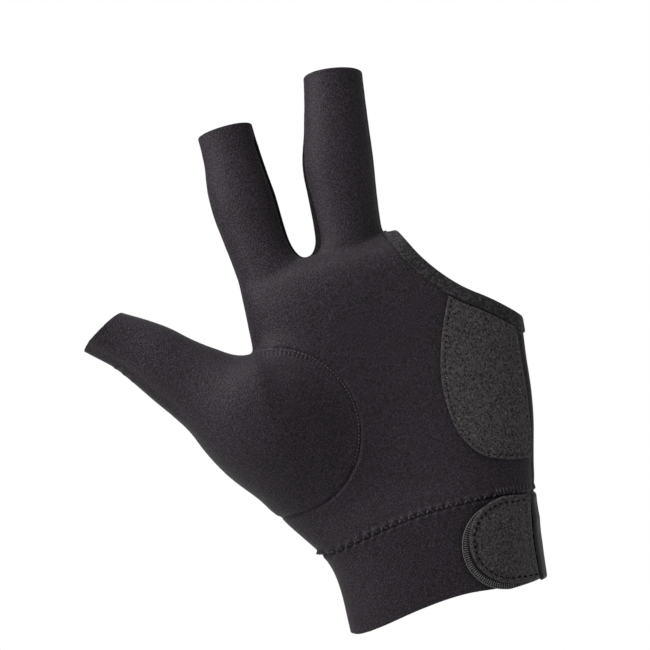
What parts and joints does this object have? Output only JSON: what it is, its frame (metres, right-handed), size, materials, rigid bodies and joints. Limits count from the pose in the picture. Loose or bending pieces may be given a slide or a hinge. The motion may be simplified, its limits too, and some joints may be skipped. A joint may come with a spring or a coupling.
{
  "type": "billiard glove",
  "caption": "Worn-form billiard glove for the left hand: open sleeves for thumb, index and middle fingers, a bound opening for the others, a palm patch and a wrist tab.",
  "frame": {"origin": "middle of the wrist opening, at the level of the cuff's lower hem", "axes": "+Z from the wrist to the fingers, palm side facing -Y, thumb to -X"},
  "size_m": [0.1375, 0.0463, 0.1763],
  "materials": {
    "stretch_knit": "fine stretch knit, soft sheen",
    "patch_knit": "fine brushed knit, matt",
    "edge_tape": "knitted elastic tape",
    "hook_tape": "woven tape with moulded hooks"
  },
  "bodies": {
    "root": {"palm_panel": "stretch_knit", "back_panel": "stretch_knit", "thumb_panel": "stretch_knit", "finger_gusset": "stretch_knit", "wrist_cuff": "stretch_knit", "finger_binding": "edge_tape", "palm_patch": "patch_knit", "wrist_strap": "edge_tape", "hook_pad": "hook_tape", "strap_tab": "patch_knit"}
  },
  "joints": []
}
